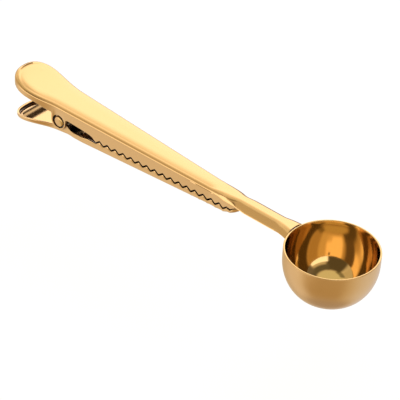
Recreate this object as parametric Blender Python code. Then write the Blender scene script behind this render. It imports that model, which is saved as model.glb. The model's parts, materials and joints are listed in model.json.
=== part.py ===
"""Measuring scoop whose long handle is a spring bag clip.

Two sheet-metal stampings lie one on the other as toothed jaws. The upper one carries the drawn bowl on its
neck, the lower one swings on a pin and is closed by a torsion spring. +X points from the handle to the bowl,
+Z is up, and the origin is the centre of the bowl's flat base. Every size below is in millimetres and is
scaled to metres as the meshes are made.
"""

import math

import bmesh
import bpy
from mathutils import Matrix, Vector

MM = 0.001
SHEET = 0.8
GAP = 0.3

# Bowl
BOWL_R = 20.0
BOWL_DEPTH = 23.0
BOWL_STRAIGHT = 5.0
BASE_R = 6.0
BOWL_SIDES = 48
BOWL_ROWS = 9
RIM = BOWL_DEPTH

# Plan shape shared by both jaws: a straight taper that swells into a finger paddle
TAPER_X = -60.0
TAPER_HALF = 4.32
TAPER_SLOPE = 0.0444
WAIST_X = -62.0
PADDLE_POWER = 2.3
SWELL_LENGTH = 18.0

# Upper jaw
UPPER_PADDLE_X = -162.5
UPPER_PADDLE_R = 10.6
TOP_AT_WAIST = RIM + 0.3
TOP_SLOPE = 0.023
CURL_X = -151.0
CURL = 0.008
BEND = 1.5
BEND_SHARES = (0.0, 0.3, 0.65, 1.0)
SHOULDER = 0.45
LIP_DROP = 3.6
LIP_DROP_AT_EAR = 4.8
LIP_X = -158.0
LIP_END_X = -148.2

# Teeth: tips of the upper jaw, evenly pitched, then the plain end of the toothed edge
TOOTH_COUNT = 17
TOOTH_PITCH = 4.31
FIRST_TIP_X = -123.08
TOOTH_HEIGHT = 1.5
TIP_LINE = ((-123.08, RIM - 6.3), (-54.1, RIM - 5.55))
JAW_GAP = 0.5
TEETH_END = ((-52.2, RIM - 4.0), (-50.3, RIM - 4.45))
FLANGE_MIDDLE = (-49.2, RIM - 4.04)
FLANGE_TIP = (-48.0, RIM - 3.6)

# Pivot
PIN_X = -144.25
PIN_Z = RIM - 6.2
PIN_R = 2.45
EAR_X = -144.0
EAR_Z = RIM - 5.75
EAR_R = 3.8
EAR_NOTCH = 0.7
EAR_HOLE_R = 3.2
INNER_EAR_R = 3.75
INNER_EAR_NOTCH = 0.5
NOTCH_RUN = 0.05
PIN_HOLE_R = PIN_R + 0.25
PIN_SIDES = 32
EAR_STEPS = 10
DRILL_REACH = 12.0

# Window between the ears and the first tooth: (x, height from the rim) along each jaw's edge
UPPER_WINDOW = (
    (-140.1, -3.7),
    (-139.4, -3.2),
    (-137.0, -3.3),
    (-133.6, -3.6),
    (-129.2, -4.0),
    (-126.6, -4.4),
    (-125.1, -4.9),
    (-124.0, -5.8),
)
LOWER_WINDOW = (
    (-140.0, -6.4),
    (-139.1, -7.05),
    (-137.9, -7.45),
    (-135.8, -7.65),
    (-130.9, -7.65),
    (-127.4, -7.15),
)

# Lower jaw
LOWER_PADDLE_X = -161.7
LOWER_PADDLE_R = 9.92
LOWER_SWELL = 15.5
NEST = 1.15
JOGGLE = (-140.6, -132.6)
FLOOR_AT_WINDOW = RIM - 11.05
FLOOR_X = -131.6
FLOOR_SLOPE = 0.0363
SPLAY_X = -131.0
SPLAY = 0.0032
SPLAY_END_X = -141.0
LOWER_CURL_X = -158.0
LOWER_CURL = 0.008
NOSE_RISE_X = -57.5
NOSE_RISE = 0.0265
WALL_HEIGHT = 2.2
WALL_HEIGHT_AT_EAR = 2.7
NOSE_X = -50.4
NOSE_LENGTH = 4.4
NOSE_POWER = 3.0
NOSE_EDGE = ((-50.3, -4.95), (-49.0, -4.05), (-48.2, -3.55), (-47.0, -3.15), (-46.0, -2.95))
LOWER_BEND_SHARE = 0.6

# Upper jaw from the waist to the bowl. Below the crown lies a leaf-shaped facet, wider than the crown, that runs out
# where the toothed flange ends: (x, half width, bend width, top, foot of the crown, top of the flange), heights from
# the rim
NECK = (
    (-62.0, 4.41, 1.5, 0.30, -1.20, -1.20),
    (-57.0, 4.15, 2.2, 0.30, -0.52, -1.65),
    (-54.0, 3.92, 2.6, 0.30, -0.42, -2.25),
    (-50.8, 3.98, 3.0, 0.32, -0.75, -2.15),
    (-46.4, 4.50, 3.6, 0.47, -2.38, -2.48),
    (-42.0, 4.95, 4.0, 0.60, -2.40, -2.40),
    (-28.0, 4.95, 4.0, 0.65, -2.40, -2.40),
    (-24.0, 5.55, 4.4, 0.72, -1.80, -1.80),
    (-20.0, 6.45, 5.0, 0.50, -1.95, -1.95),
)
BEND_CUT = 45.0
BEND_CUT_X = (-61.0, -57.0)
FLANGE_END_X = -45.4
SEAT_START_X = -30.0

# Torsion spring
WIRE_R = 0.6
COIL_R = PIN_R + GAP + WIRE_R + 0.05
COIL_TURNS = 5
COIL_PITCH = 1.35
COIL_STEPS = 14
WIRE_SIDES = 6
LEG_TIP_X = -158.0
LEG_ANGLES = (277.0, 75.0)

GOLD = (0.80, 0.52, 0.20, 1.0)
PALE_GOLD = (0.86, 0.60, 0.28, 1.0)
STEEL = (0.62, 0.60, 0.56, 1.0)


def mix(a, b, t):
    """Straight-line step from a to b."""
    return a + (b - a) * t


def ramp(x, start, end):
    """Smooth 0 to 1 as x goes from start to end."""
    t = min(1.0, max(0.0, (x - start) / (end - start)))
    return t * t * (3.0 - 2.0 * t)


def along(points, x):
    """Value at x of the smooth chain through (x, value) points."""
    for (x0, v0), (x1, v1) in zip(points, points[1:]):
        if x <= x1:
            return mix(v0, v1, ramp(x, x0, x1))
    return points[-1][1]


def polyline(points, x):
    """Value at x of the straight chain through (x, value) points."""
    for (x0, v0), (x1, v1) in zip(points, points[1:]):
        if x <= x1:
            return mix(v0, v1, max(0.0, (x - x0) / (x1 - x0)))
    return points[-1][1]


def spread(start, end, count):
    """count + 1 evenly spaced values from start to end."""
    return [mix(start, end, i / count) for i in range(count + 1)]


# ----------------------------------------------------------------------------------------------------
# Plan outlines


def taper(x):
    """Half width of the straight part of both jaws."""
    return TAPER_HALF + TAPER_SLOPE * (TAPER_X - min(x, WAIST_X))


def paddle_half(x, centre, radius, base, swell):
    """Half width where the jaw swells into its round-ended paddle."""
    if x <= centre:
        t = min(1.0, (centre - x) / radius)
        return radius * (1.0 - t**PADDLE_POWER) ** (1.0 / PADDLE_POWER)
    return base(x) + (radius - base(centre)) * (1.0 - ramp(x, centre, centre + swell))


def upper_half(x):
    """Half width of the upper jaw's outer face."""
    return paddle_half(x, UPPER_PADDLE_X, UPPER_PADDLE_R, taper, SWELL_LENGTH)


def nested_taper(x):
    """Half width of the lower jaw behind the joggle, where it runs inside the upper ears."""
    return taper(x) - NEST * (1.0 - ramp(x, *JOGGLE))


def lower_half(x):
    """Half width of the lower jaw's outer face, rounded at the nose."""
    if x > NOSE_X:
        t = min(1.0, (x - NOSE_X) / NOSE_LENGTH)
        return taper(NOSE_X) * (1.0 - t**NOSE_POWER) ** (1.0 / NOSE_POWER)
    return paddle_half(x, LOWER_PADDLE_X, LOWER_PADDLE_R, nested_taper, LOWER_SWELL)


def end_stations(centre, radius, power, count):
    """x positions round a paddle end or a nose, from its tip to where it meets the taper."""
    angles = spread(0.0, 90.0, count)
    return [centre + radius * math.cos(math.radians(a)) ** (2.0 / power) for a in angles]


def inward(half, x):
    """Unit vector in plan, on the +Y side, from the outline towards the middle of the piece."""
    step = 0.01
    slope = (half(x + step) - half(x - step)) / (2.0 * step)
    length = math.hypot(1.0, slope)
    return slope / length, -1.0 / length


# ----------------------------------------------------------------------------------------------------
# Side outlines


def top_height(x):
    """Height of the upper jaw's flat top, which climbs towards the paddle and curls up at its end."""
    rise = TOP_SLOPE * max(0.0, WAIST_X - x)
    return TOP_AT_WAIST + rise + CURL * max(0.0, CURL_X - x) ** 2


def tooth_points():
    """The upper jaw's zigzag edge as (x, height) points, from the first tip to the end of the teeth."""
    points = []
    for i in range(TOOTH_COUNT):
        x = FIRST_TIP_X + TOOTH_PITCH * i
        points.append((x, polyline(TIP_LINE, x)))
        if i < TOOTH_COUNT - 1:
            middle = x + TOOTH_PITCH / 2.0
            points.append((middle, polyline(TIP_LINE, middle) + TOOTH_HEIGHT))
    return points + list(TEETH_END)


def ear_points(x_centre, z_centre, radius, sign, steps):
    """Half circle of an ear's rim as (x, height) points; sign -1 bulges down and +1 bulges up."""
    points = []
    for angle in spread(180.0, 0.0, steps):
        a = math.radians(angle)
        points.append((x_centre + radius * math.cos(a), z_centre + sign * radius * math.sin(a)))
    return points


def upper_edge_points():
    """Lower edge of the upper jaw from the ear to the nose as (x, height) points."""
    left = EAR_X - EAR_R
    lip = top_height(LIP_END_X) - LIP_DROP_AT_EAR
    points = [(LIP_END_X, lip), (left - NOTCH_RUN, lip - EAR_NOTCH)]
    points += ear_points(EAR_X, EAR_Z, EAR_R, -1.0, EAR_STEPS)
    points += [(x, RIM + z) for x, z in UPPER_WINDOW]
    points += tooth_points()
    points += [FLANGE_MIDDLE, FLANGE_TIP]
    return points


def lower_edge_points():
    """Upper edge of the lower jaw from the ear to the nose as (x, height) points."""
    left = PIN_X - INNER_EAR_R
    wall = floor_height(left) + WALL_HEIGHT_AT_EAR
    points = [(left - 6.0 * NOTCH_RUN, wall), (left - NOTCH_RUN, wall + INNER_EAR_NOTCH)]
    points += ear_points(PIN_X, PIN_Z, INNER_EAR_R, 1.0, EAR_STEPS)
    points += [(x, RIM + z) for x, z in LOWER_WINDOW]
    points += [(x, z - JAW_GAP) for x, z in tooth_points()]
    return points


def floor_height(x):
    """Height of the lower jaw's underside, which splays down to the curled paddle and rises at the nose."""
    bend = max(0.0, SPLAY_X - max(x, SPLAY_END_X))
    tail = max(0.0, SPLAY_END_X - x) * 2.0 * SPLAY * (SPLAY_X - SPLAY_END_X)
    line = FLOOR_AT_WINDOW + FLOOR_SLOPE * (x - FLOOR_X) - SPLAY * bend * bend - tail
    curl = max(0.0, LOWER_CURL_X - x)
    nose = max(0.0, x - NOSE_RISE_X)
    return line - LOWER_CURL * curl * curl + NOSE_RISE * nose * nose


# ----------------------------------------------------------------------------------------------------
# Mesh helpers


def material(name, colour, roughness):
    """Metal material with one Principled shader."""
    made = bpy.data.materials.new(name)
    made.use_nodes = True
    shader = made.node_tree.nodes["Principled BSDF"]
    shader.inputs["Base Color"].default_value = colour
    shader.inputs["Metallic"].default_value = 1.0
    shader.inputs["Roughness"].default_value = roughness
    return made


def object_from(name, mesh_data, finish):
    """Put a bmesh, drawn in millimetres, into the scene as a named object in metres."""
    bmesh.ops.scale(mesh_data, vec=Vector((MM, MM, MM)), verts=mesh_data.verts)
    mesh = bpy.data.meshes.new(name)
    mesh_data.to_mesh(mesh)
    mesh_data.free()
    mesh.materials.append(finish)
    mesh.shade_smooth()
    mesh.set_sharp_from_angle(angle=math.radians(35.0))
    placed = bpy.data.objects.new(name, mesh)
    bpy.context.collection.objects.link(placed)
    return placed


def move_origin(placed, point):
    """Put an object's origin on a point given in millimetres without moving its shape."""
    offset = Vector(point) * MM
    placed.data.transform(Matrix.Translation(-offset))
    placed.location = offset


def skin(rows, closed, flip):
    """Open surface through rows of points; a row runs from the sheet's edge to its middle line."""
    made = bmesh.new()
    grid = [[made.verts.new(point) for point in row] for row in rows]
    pairs = list(zip(grid, grid[1:]))
    if closed:
        pairs.append((grid[-1], grid[0]))
    for a, b in pairs:
        for j in range(len(a) - 1):
            corners = [a[j], a[j + 1], b[j + 1], b[j]]
            made.faces.new(corners[::-1] if flip else corners)
    bmesh.ops.remove_doubles(made, verts=made.verts, dist=0.002)
    bmesh.ops.dissolve_degenerate(made, edges=made.edges, dist=0.002)
    return made


def mirrored(rows):
    """Rows on the other side of the middle plane, in reverse order."""
    return [[(x, -y, z) for x, y, z in row] for row in reversed(rows)]


def thicken(placed, thickness):
    """Give the sheet its thickness towards its inside."""
    solid = placed.modifiers.new("sheet", "SOLIDIFY")
    solid.thickness = thickness * MM
    solid.offset = -1.0
    solid.use_even_offset = True
    solid.use_quality_normals = True


def cross_hole(placed, x, z, radius, reach):
    """Cut a round hole along Y through both sides of a piece."""
    made = bmesh.new()
    bmesh.ops.create_cone(
        made, cap_ends=True, segments=PIN_SIDES, radius1=radius, radius2=radius, depth=2.0 * reach
    )
    bmesh.ops.rotate(made, matrix=Matrix.Rotation(math.radians(90.0), 3, "X"), verts=made.verts)
    bmesh.ops.translate(made, vec=Vector((x, 0.0, z)), verts=made.verts)
    cutter = object_from(placed.name + "_drill", made, placed.data.materials[0])
    cutter.hide_render = True
    cutter.display_type = "WIRE"
    cut = placed.modifiers.new("pivot hole", "BOOLEAN")
    cut.operation = "DIFFERENCE"
    cut.solver = "EXACT"
    cut.object = cutter


# ----------------------------------------------------------------------------------------------------
# Bowl


def bowl_profile(radius, depth, base, straight):
    """Half section from the rim to the centre of the base as (radius, height) points."""
    points = [(radius, RIM), (radius, RIM - straight)]
    for angle in spread(0.0, 90.0, BOWL_ROWS)[1:]:
        a = math.radians(angle)
        height = RIM - straight - (depth - straight) * math.sin(a)
        points.append((base + (radius - base) * math.cos(a), height))
    return points


def build_bowl(finish):
    """Drawn bowl turned from its closed half section."""
    outer = bowl_profile(BOWL_R, BOWL_DEPTH, BASE_R, BOWL_STRAIGHT)
    inner = bowl_profile(BOWL_R - SHEET, BOWL_DEPTH - SHEET, BASE_R, BOWL_STRAIGHT)
    section = [(0.0, 0.0)] + outer[::-1] + inner + [(0.0, SHEET)]
    made = bmesh.new()
    verts = [made.verts.new((r, 0.0, z)) for r, z in section]
    edges = [made.edges.new(pair) for pair in zip(verts, verts[1:])]
    bmesh.ops.spin(
        made,
        geom=verts + edges,
        cent=(0, 0, 0),
        axis=(0, 0, 1),
        angle=math.tau,
        steps=BOWL_SIDES,
        use_merge=True,
    )
    bmesh.ops.remove_doubles(made, verts=made.verts, dist=0.001)
    bmesh.ops.recalc_face_normals(made, faces=made.faces)
    return object_from("scoop_bowl", made, finish)


# ----------------------------------------------------------------------------------------------------
# Upper jaw


def crown_section(x):
    """Half width, bend width, then heights of the top, the crown's foot and the flange's top at x."""
    if x < WAIST_X:
        top = top_height(x)
        return upper_half(x), BEND, top, top - BEND, top - BEND
    half, bend, top, foot, shoulder = (along([(row[0], row[i]) for row in NECK], x) for i in range(1, 6))
    return half, bend, RIM + top, RIM + foot, RIM + shoulder


def upper_edge_height(x):
    """Height of the upper jaw's lower edge."""
    if x < LIP_END_X:
        return top_height(x) - mix(LIP_DROP, LIP_DROP_AT_EAR, ramp(x, LIP_X, LIP_END_X))
    return polyline(upper_edge_points(), x)


def upper_row(x):
    """Section of the upper jaw on the +Y side, from its lower edge to the middle line."""
    half, bend, top, foot, shoulder = crown_section(x)
    in_x, in_y = inward(upper_half, x) if x < WAIST_X else (0.0, -1.0)
    flange = 1.0 - ramp(x, NOSE_X, FLANGE_END_X)
    edge_half = mix(half, taper(x) if x > WAIST_X else half, flange)
    edge = mix(foot, upper_edge_height(min(x, FLANGE_TIP[0])), flange)
    shoulder = mix(mix(foot, edge, SHOULDER), shoulder, ramp(x, *BEND_CUT_X))
    row = [(x, edge_half, edge), (x, edge_half, mix(foot, shoulder, flange))]
    cut = math.radians(BEND_CUT) * ramp(x, *BEND_CUT_X)
    for share in BEND_SHARES:
        a = mix(cut, math.pi / 2.0, share)
        inset = bend * (math.cos(cut) - math.cos(a)) / math.cos(cut)
        drop = (top - foot) * (1.0 - math.sin(a)) / (1.0 - math.sin(cut))
        row.append((x + in_x * inset, half + in_y * inset, top - drop))
    middle = max(x, UPPER_PADDLE_X)
    row.append((middle, 0.0, top_height(middle) if x < WAIST_X else top))
    return row


def seat_on_bowl(row, amount):
    """Curve a section of the neck so that its end follows the bowl's wall."""
    seated = []
    for x, y, z in row:
        wall = BOWL_R - math.sqrt(BOWL_R**2 - y * y)
        seated.append((x + amount * wall, y, z))
    return seated


def build_upper_jaw(finish):
    """Upper stamping: paddle, toothed flanges, outer ears and the neck."""
    end = -(BOWL_R + GAP)
    stations = end_stations(UPPER_PADDLE_X, -UPPER_PADDLE_R, PADDLE_POWER, 10)
    stations += spread(-160.5, -149.5, 5)
    stations += [x for x, z in upper_edge_points()]
    stations += [-47.2, -46.4, FLANGE_END_X, -43.5, -40.0, -30.0, -27.0, -25.5, -24.0, -22.2, end]
    rows = [seat_on_bowl(upper_row(x), ramp(x, SEAT_START_X, end)) for x in stations]
    rows[0] = [(x, 0.0, z) for x, y, z in rows[0]]
    made = skin(mirrored(rows[1:]) + rows, False, False)
    placed = object_from("handle_upper_jaw", made, finish)
    thicken(placed, SHEET)
    cross_hole(placed, EAR_X, EAR_Z, EAR_HOLE_R, DRILL_REACH)
    return placed


# ----------------------------------------------------------------------------------------------------
# Lower jaw


def lower_edge_height(x):
    """Height of the lower jaw's upper edge."""
    points = lower_edge_points()
    if x < points[0][0]:
        wall = mix(WALL_HEIGHT, WALL_HEIGHT_AT_EAR, ramp(x, LOWER_PADDLE_X, points[0][0]))
        return floor_height(x) + wall
    if x > points[-1][0]:
        return RIM + polyline(NOSE_EDGE, x)
    return polyline(points, x)


def lower_row(x, tip=0.0):
    """Section of the lower jaw from its upper edge to the middle line.

    It is the +Y side, or the middle plane if tip says which way (+1 or -1 along X) the end faces inwards.
    """
    half, in_x, in_y = 0.0, tip, 0.0
    if not tip:
        half = lower_half(x)
        in_x, in_y = inward(lower_half, x)
    floor = floor_height(x)
    edge = lower_edge_height(x)
    bend = min(BEND, LOWER_BEND_SHARE * (edge - floor))
    row = [(x, half, edge)]
    for angle in (0.0, 45.0, 90.0):
        a = math.radians(angle)
        inset = bend * (1.0 - math.cos(a))
        row.append((x + in_x * inset, half + in_y * inset, floor + bend * (1.0 - math.sin(a))))
    middle = min(max(x, LOWER_PADDLE_X), NOSE_X - 1.0)
    row.append((middle, 0.0, floor_height(middle)))
    return row


def build_lower_jaw(finish):
    """Lower stamping: a closed tray with teeth, inner ears and the lower paddle."""
    paddle = end_stations(LOWER_PADDLE_X, -LOWER_PADDLE_R, PADDLE_POWER, 10)
    nose = end_stations(NOSE_X, NOSE_LENGTH, NOSE_POWER, 6)[::-1]
    stations = paddle[1:] + spread(-159.5, -150.0, 4)
    stations += [x for x, z in lower_edge_points() if x < NOSE_X]
    stations += [NOSE_X] + nose[1:-1]
    side = [lower_row(x) for x in stations]
    rows = [lower_row(paddle[0], 1.0)] + side + [lower_row(nose[-1], -1.0)] + mirrored(side)
    made = skin(rows, True, True)
    placed = object_from("lower_jaw", made, finish)
    thicken(placed, SHEET)
    cross_hole(placed, PIN_X, PIN_Z, PIN_HOLE_R, DRILL_REACH)
    move_origin(placed, (PIN_X, 0.0, PIN_Z))
    return placed


# ----------------------------------------------------------------------------------------------------
# Pin and spring


def build_pin(finish):
    """Round pin across the ears with softened ends."""
    length = 2.0 * taper(PIN_X)
    made = bmesh.new()
    bmesh.ops.create_cone(
        made, cap_ends=True, segments=PIN_SIDES, radius1=PIN_R, radius2=PIN_R, depth=length
    )
    bmesh.ops.rotate(made, matrix=Matrix.Rotation(math.radians(90.0), 3, "X"), verts=made.verts)
    placed = object_from("hinge_pin", made, finish)
    placed.location = Vector((PIN_X, 0.0, PIN_Z)) * MM
    soft = placed.modifiers.new("soft ends", "BEVEL")
    soft.width = 0.35 * MM
    soft.segments = 1
    soft.limit_method = "ANGLE"
    soft.angle_limit = math.radians(50.0)
    return placed


def leg_points(start, tip):
    """Straight leg from the coil to its tip."""
    return [Vector(start).lerp(Vector(tip), 0.5), Vector(tip)]


def spring_path():
    """Centre line of the wire: lower leg, coil round the pin, upper leg."""
    half = COIL_TURNS * COIL_PITCH / 2.0
    lower_touch = floor_height(LEG_TIP_X) + SHEET + GAP + WIRE_R
    upper_touch = top_height(LEG_TIP_X) - SHEET - GAP - WIRE_R
    start_angle = math.radians(LEG_ANGLES[0])
    sweep = math.radians(360.0 * COIL_TURNS + LEG_ANGLES[1] - LEG_ANGLES[0])
    count = int(COIL_STEPS * COIL_TURNS)
    coil = []
    for t in spread(0.0, 1.0, count):
        a = start_angle + sweep * t
        coil.append(
            Vector((PIN_X + COIL_R * math.cos(a), mix(half, -half, t), PIN_Z + COIL_R * math.sin(a)))
        )
    lower = leg_points(coil[0], (LEG_TIP_X, half, lower_touch))
    upper = leg_points(coil[-1], (LEG_TIP_X, -half, upper_touch))
    return lower[::-1] + coil + upper


def build_spring(finish):
    """Wire swept along its centre line as a closed tube."""
    path = spring_path()
    made = bmesh.new()
    rings = []
    for i, point in enumerate(path):
        before = path[max(0, i - 1)]
        after = path[min(len(path) - 1, i + 1)]
        forward = (after - before).normalized()
        side = Vector((0.0, 1.0, 0.0))
        side = (side - forward * side.dot(forward)).normalized()
        up = forward.cross(side)
        ring = []
        for k in range(WIRE_SIDES):
            a = math.tau * k / WIRE_SIDES
            ring.append(made.verts.new(point + (side * math.cos(a) + up * math.sin(a)) * WIRE_R))
        rings.append(ring)
    for a, b in zip(rings, rings[1:]):
        for k in range(WIRE_SIDES):
            n = (k + 1) % WIRE_SIDES
            made.faces.new((a[k], a[n], b[n], b[k]))
    made.faces.new(rings[0])
    made.faces.new(rings[-1])
    bmesh.ops.recalc_face_normals(made, faces=made.faces)
    placed = object_from("torsion_spring", made, finish)
    move_origin(placed, (PIN_X, 0.0, PIN_Z))
    return placed


def clear_scene():
    """Remove whatever the scene holds."""
    for thing in list(bpy.data.objects):
        bpy.data.objects.remove(thing, do_unlink=True)


def main():
    """Build every piece."""
    clear_scene()
    gold = material("satin_gold", GOLD, 0.28)
    bright = material("polished_gold", PALE_GOLD, 0.15)
    steel = material("spring_steel", STEEL, 0.35)
    build_bowl(gold)
    build_upper_jaw(bright)
    build_lower_jaw(bright)
    build_pin(gold)
    build_spring(steel)


main()
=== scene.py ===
"""Looks of a gold clip scoop: fine sheet-metal meshes, metal finishes, studio light and camera.

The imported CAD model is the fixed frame. Each piece below is a finer version of one CAD node and rides on that
node's body. Lengths are millimetres in the row frame until a mesh is made, and MM turns them into metres.
"""

import json
import math

import bmesh
import bpy
from mathutils import Matrix, Vector


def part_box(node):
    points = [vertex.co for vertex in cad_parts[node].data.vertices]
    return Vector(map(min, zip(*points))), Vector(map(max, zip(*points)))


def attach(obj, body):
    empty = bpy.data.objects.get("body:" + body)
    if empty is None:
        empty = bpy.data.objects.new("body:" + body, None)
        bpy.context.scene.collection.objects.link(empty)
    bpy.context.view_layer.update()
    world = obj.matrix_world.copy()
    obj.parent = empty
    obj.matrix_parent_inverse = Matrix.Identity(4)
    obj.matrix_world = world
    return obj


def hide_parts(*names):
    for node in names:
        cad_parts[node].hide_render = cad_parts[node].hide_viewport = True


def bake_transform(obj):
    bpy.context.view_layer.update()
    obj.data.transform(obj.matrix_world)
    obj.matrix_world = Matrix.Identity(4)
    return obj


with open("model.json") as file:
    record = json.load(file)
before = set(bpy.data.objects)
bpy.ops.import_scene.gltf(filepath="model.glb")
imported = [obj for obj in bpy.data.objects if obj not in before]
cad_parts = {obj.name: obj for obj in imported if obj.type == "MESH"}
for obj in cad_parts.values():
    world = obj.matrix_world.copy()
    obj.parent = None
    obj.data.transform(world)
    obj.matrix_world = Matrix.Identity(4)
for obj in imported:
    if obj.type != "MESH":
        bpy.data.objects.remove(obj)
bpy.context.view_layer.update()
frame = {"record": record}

MM = 0.001
SHEET = 0.8
EDGE_ROUND = 0.12


def cad_mm(node):
    """Lowest and highest corner of a CAD node in millimetres."""
    return [[value / MM for value in corner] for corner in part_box(node)]


BOWL_HIGH = cad_mm("scoop_bowl")[1]
PIN_LOW, PIN_HIGH = cad_mm("hinge_pin")
HINGE = [value / MM for value in frame["record"]["behaviour"]["joints"][0]["pos_m"]]

# Bowl: straight below the rim, then curved in to a flat base; the lining curves in sooner
BOWL_R = BOWL_HIGH[0]
RIM = BOWL_HIGH[2]
BOWL_STRAIGHT = 5.0
INNER_STRAIGHT = 2.0
BASE_R = 6.0
LIP_ROUND = 0.3

# Plan of both jaws: a straight taper that swells into a finger paddle
TAPER_X = -60.0
TAPER_HALF = 4.32
TAPER_SLOPE = 0.0444
WAIST_X = -62.0
PADDLE_POWER = 2.3
SWELL_LENGTH = 18.0

# Upper jaw: its top slopes up from the waist to the paddle, whose rim is turned down
UPPER_PADDLE_R = 10.6
UPPER_PADDLE_X = -162.5
TOP_AT_WAIST = RIM + 0.3
TOP_SLOPE = 0.023
CURL_X = -151.0
CURL = 0.008
BEND = 1.5
CROWN = 0.026
CROWN_WIDTH = 3.6
LIP_DROP = 3.6
LIP_DROP_AT_EAR = 4.8
LIP_X = -158.0
LIP_END_X = -148.2

# Teeth: a zigzag between two straight lines, which runs out in the rounded end of the flange
TOOTH_COUNT = 17
TOOTH_PITCH = 4.31
FIRST_TIP_X = -123.08
TOOTH_HEIGHT = 1.5
TOOTH_SHARPNESS = 0.96
TOOTH_STEPS = 10
TIP_LINE = ((-123.08, RIM - 6.3), (-54.1, RIM - 5.55))
JAW_GAP = 1.0
TEETH_END = ((-52.2, RIM - 4.0), (-50.3, RIM - 4.45))
FLANGE_MIDDLE = (-49.2, RIM - 4.04)
FLANGE_TIP = (-48.0, RIM - 3.6)

# Pivot, and the window beside it between the jaws: (x, height above the rim)
PIN_X, _, PIN_Z = HINGE
PIN_R = (PIN_HIGH[2] - PIN_LOW[2]) / 2.0
EAR_X = -144.0
EAR_Z = RIM - 5.75
EAR_R = 3.8
EAR_NOTCH = 0.7
EAR_HOLE_R = 3.2
INNER_EAR_R = 3.75
INNER_EAR_NOTCH = 0.5
NOTCH_RUN = 0.05
INNER_NOTCH_START = 6.0 * NOTCH_RUN
DRILL_REACH = 12.0
PIN_HOLE_R = PIN_R + 0.25
EAR_STEPS = 28
UPPER_WINDOW = (
    (-140.1, -3.7),
    (-139.4, -3.2),
    (-137.0, -3.3),
    (-133.6, -3.6),
    (-129.2, -4.0),
    (-126.6, -4.4),
    (-125.1, -4.9),
    (-124.0, -5.8),
)
LOWER_WINDOW = (
    (-140.0, -7.0),
    (-139.1, -7.7),
    (-137.9, -8.1),
    (-135.8, -8.2),
    (-130.9, -7.8),
    (-127.4, -7.15),
)

# Pin: (in from the side, down from the domed face) of the points on its rounded edge
PIN_DOME = 0.25
PIN_CHAMFER = 0.35
PIN_EDGE = ((0.12, 0.05), (0.0, 0.25))

# Lower jaw: it runs inside the upper ears and splays down into its own paddle
LOWER_PADDLE_X = -161.7
LOWER_PADDLE_R = 9.92
LOWER_SWELL = 15.5
NEST = 1.15
JOGGLE = (-140.6, -132.6)
FLOOR_AT_WINDOW = RIM - 11.05
FLOOR_X = -131.6
FLOOR_SLOPE = 0.0363
SPLAY_X = -131.0
SPLAY = 0.0032
SPLAY_END_X = -141.0
LOWER_CURL_X = -158.0
LOWER_CURL = 0.008
NOSE_RISE_X = -57.5
NOSE_RISE = 0.0265
WALL_HEIGHT = 2.2
WALL_HEIGHT_AT_EAR = 2.7
NOSE_X = -50.4
NOSE_LENGTH = 4.4
NOSE_POWER = 3.0
NOSE_MIDDLE_X = NOSE_X - 1.0
BEND_SHARE = 0.6
NOSE_EDGE = ((-50.3, -4.95), (-49.0, -4.05), (-48.2, -3.55), (-47.0, -3.15), (-46.0, -2.95))

# Upper jaw from the waist to the bowl: (x, half width, bend width, top, foot of the crown, top of the flange)
NECK = (
    (-62.0, 4.41, 1.5, 0.30, -1.20, -1.20),
    (-57.0, 4.15, 2.2, 0.30, -0.52, -1.65),
    (-54.0, 3.92, 2.6, 0.30, -0.42, -2.25),
    (-50.8, 3.98, 3.0, 0.32, -0.75, -2.15),
    (-46.4, 4.50, 3.6, 0.47, -2.38, -2.48),
    (-42.0, 4.95, 4.0, 0.60, -2.40, -2.40),
    (-28.0, 4.95, 4.0, 0.65, -2.40, -2.40),
    (-24.0, 5.55, 4.4, 0.72, -1.80, -1.80),
    (-20.0, 6.45, 5.0, 0.50, -1.95, -1.95),
)
BEND_CUT = 45.0
BEND_CUT_X = (-61.0, -57.0)
FLANGE_END_X = -45.4
SEAT_START_X = -30.0
NECK_GAP = 0.05

# Fine crease along the bend: depth, where it starts, is full, fades and ends, and half its width
CREASE = 0.2
CREASE_X = (-76.0, -66.0, -61.5, -58.5)
CREASE_HALF = 0.2

# The crown of the top gives way to the neck's own section here
NECK_BLEND_X = (-64.0, -56.0)

# Torsion spring
WIRE_R = 0.6
COIL_R = PIN_R + 0.95
COIL_TURNS = 5
COIL_PITCH = 1.35
COIL_HALF = COIL_TURNS * COIL_PITCH / 2.0
LEG_TIP_X = -158.0
LEG_ANGLES = (277.0, 75.0)
LEG_CLEAR = 0.3

# Steps along each run of the meshes, and how close points merge
BOWL_ROWS = 40
BOWL_SIDES = 192
LIP_STEPS = 5
BASE_STEPS = 4
PADDLE_STEPS = 36
SWELL_STEPS = 26
NOSE_STEPS = 20
FLANGE_END_STEPS = 8
NECK_STEPS = 44
BEND_STEPS = 12
SHOULDER_STEPS = 3
TOP_STEPS = 14
FLANGE_ROWS = (0.0, 0.1, 0.93, 1.0)
HOLE_SIDES = 96
PIN_SIDES = 96
PIN_FACE_STEPS = 8
TURN_STEPS = 48
LEG_STEPS = 14
WIRE_SIDES = 16
SHEET_WELD = 0.002
TURNED_WELD = 0.0005

# Angles in degrees above which an edge is shaded sharp or gets its rounding
SHEET_SHARP = 38.0
BOWL_SHARP = 40.0
ROUND_SHARP = 50.0
ROUNDED_FROM = 55.0


def mix(a, b, t):
    """Straight-line step from a to b."""
    return a + (b - a) * t


def ramp(x, start, end):
    """Smooth 0 to 1 as x goes from start to end."""
    t = min(1.0, max(0.0, (x - start) / (end - start)))
    return t * t * (3.0 - 2.0 * t)


def gentle(before, after):
    """Slope of a chain at one of its points: 0 where it turns back, else the harmonic mean of both sides."""
    if before * after <= 0.0:
        return 0.0
    return 2.0 * before * after / (before + after)


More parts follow.
